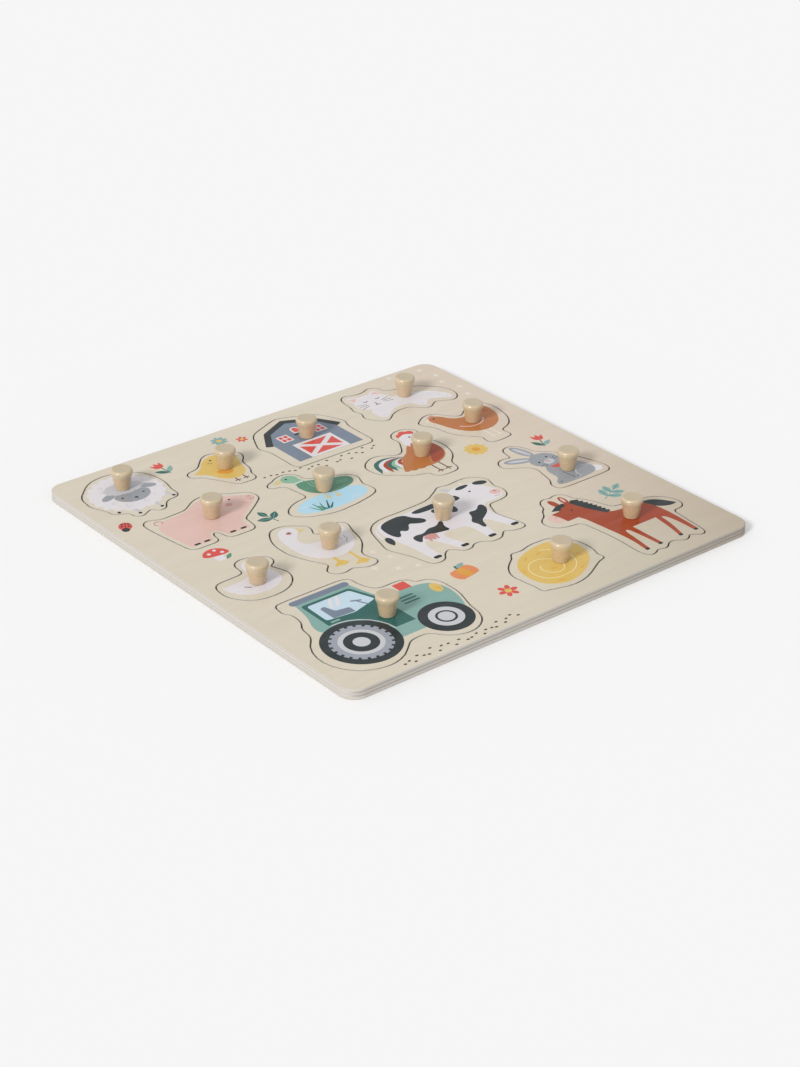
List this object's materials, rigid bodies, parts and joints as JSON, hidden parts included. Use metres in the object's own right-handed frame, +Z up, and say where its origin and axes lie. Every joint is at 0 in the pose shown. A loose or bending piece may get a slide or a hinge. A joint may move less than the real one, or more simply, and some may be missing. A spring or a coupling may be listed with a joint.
{
  "type": "peg puzzle",
  "caption": "Wooden peg puzzle: a flat square board whose farmyard-shaped plaques lie in matching pockets and lift out by turned knobs.",
  "frame": {"origin": "middle of the board's underside", "axes": "+Z up, out of the printed face; +X to the right and +Y to the top of the picture"},
  "size_m": [0.4, 0.4, 0.0263],
  "materials": {
    "board_birch": "clear satin lacquer on birch plywood",
    "back_birch": "clear satin lacquer on birch plywood",
    "turned_beech": "clear semi-gloss lacquer on turned wood",
    "white_print": "printed birch plywood under a clear satin lacquer",
    "yellow_print": "printed birch plywood under a clear satin lacquer",
    "slate_print": "printed birch plywood under a clear satin lacquer",
    "pink_print": "printed birch plywood under a clear satin lacquer",
    "blue_print": "printed birch plywood under a clear satin lacquer",
    "rust_print": "printed birch plywood under a clear satin lacquer",
    "black_and_white_print": "printed birch plywood under a clear satin lacquer",
    "grey_print": "printed birch plywood under a clear satin lacquer",
    "teal_print": "printed birch plywood under a clear satin lacquer"
  },
  "bodies": {
    "board": {"top_panel": "board_birch", "back_panel": "back_birch"},
    "sheep_piece": {"sheep": "white_print", "sheep_knob": "turned_beech"},
    "chick_piece": {"chick": "yellow_print", "chick_knob": "turned_beech"},
    "barn_piece": {"barn": "slate_print", "barn_knob": "turned_beech"},
    "cat_piece": {"cat": "white_print", "cat_knob": "turned_beech"},
    "pig_piece": {"pig": "pink_print", "pig_knob": "turned_beech"},
    "duck_piece": {"duck": "blue_print", "duck_knob": "turned_beech"},
    "rooster_piece": {"rooster": "rust_print", "rooster_knob": "turned_beech"},
    "hen_piece": {"hen": "rust_print", "hen_knob": "turned_beech"},
    "duckling_piece": {"duckling": "white_print", "duckling_knob": "turned_beech"},
    "goose_piece": {"goose": "white_print", "goose_knob": "turned_beech"},
    "cow_piece": {"cow": "black_and_white_print", "cow_knob": "turned_beech"},
    "rabbit_piece": {"rabbit": "grey_print", "rabbit_knob": "turned_beech"},
    "tractor_piece": {"tractor": "teal_print", "tractor_knob": "turned_beech"},
    "bale_piece": {"bale": "yellow_print", "bale_knob": "turned_beech"},
    "horse_piece": {"horse": "rust_print", "horse_knob": "turned_beech"}
  },
  "joints": [
    {"name": "sheep_lift", "type": "slide", "parent": "board", "child": "sheep_piece", "axis": [0, 0, 1], "range_m": [0, 0.035]},
    {"name": "chick_lift", "type": "slide", "parent": "board", "child": "chick_piece", "axis": [0, 0, 1], "range_m": [0, 0.035]},
    {"name": "barn_lift", "type": "slide", "parent": "board", "child": "barn_piece", "axis": [0, 0, 1], "range_m": [0, 0.035]},
    {"name": "cat_lift", "type": "slide", "parent": "board", "child": "cat_piece", "axis": [0, 0, 1], "range_m": [0, 0.035]},
    {"name": "pig_lift", "type": "slide", "parent": "board", "child": "pig_piece", "axis": [0, 0, 1], "range_m": [0, 0.035]},
    {"name": "duck_lift", "type": "slide", "parent": "board", "child": "duck_piece", "axis": [0, 0, 1], "range_m": [0, 0.035]},
    {"name": "rooster_lift", "type": "slide", "parent": "board", "child": "rooster_piece", "axis": [0, 0, 1], "range_m": [0, 0.035]},
    {"name": "hen_lift", "type": "slide", "parent": "board", "child": "hen_piece", "axis": [0, 0, 1], "range_m": [0, 0.035]},
    {"name": "duckling_lift", "type": "slide", "parent": "board", "child": "duckling_piece", "axis": [0, 0, 1], "range_m": [0, 0.035]},
    {"name": "goose_lift", "type": "slide", "parent": "board", "child": "goose_piece", "axis": [0, 0, 1], "range_m": [0, 0.035]},
    {"name": "cow_lift", "type": "slide", "parent": "board", "child": "cow_piece", "axis": [0, 0, 1], "range_m": [0, 0.035]},
    {"name": "rabbit_lift", "type": "slide", "parent": "board", "child": "rabbit_piece", "axis": [0, 0, 1], "range_m": [0, 0.035]},
    {"name": "tractor_lift", "type": "slide", "parent": "board", "child": "tractor_piece", "axis": [0, 0, 1], "range_m": [0, 0.035]},
    {"name": "bale_lift", "type": "slide", "parent": "board", "child": "bale_piece", "axis": [0, 0, 1], "range_m": [0, 0.035]},
    {"name": "horse_lift", "type": "slide", "parent": "board", "child": "horse_piece", "axis": [0, 0, 1], "range_m": [0, 0.035]}
  ]
}
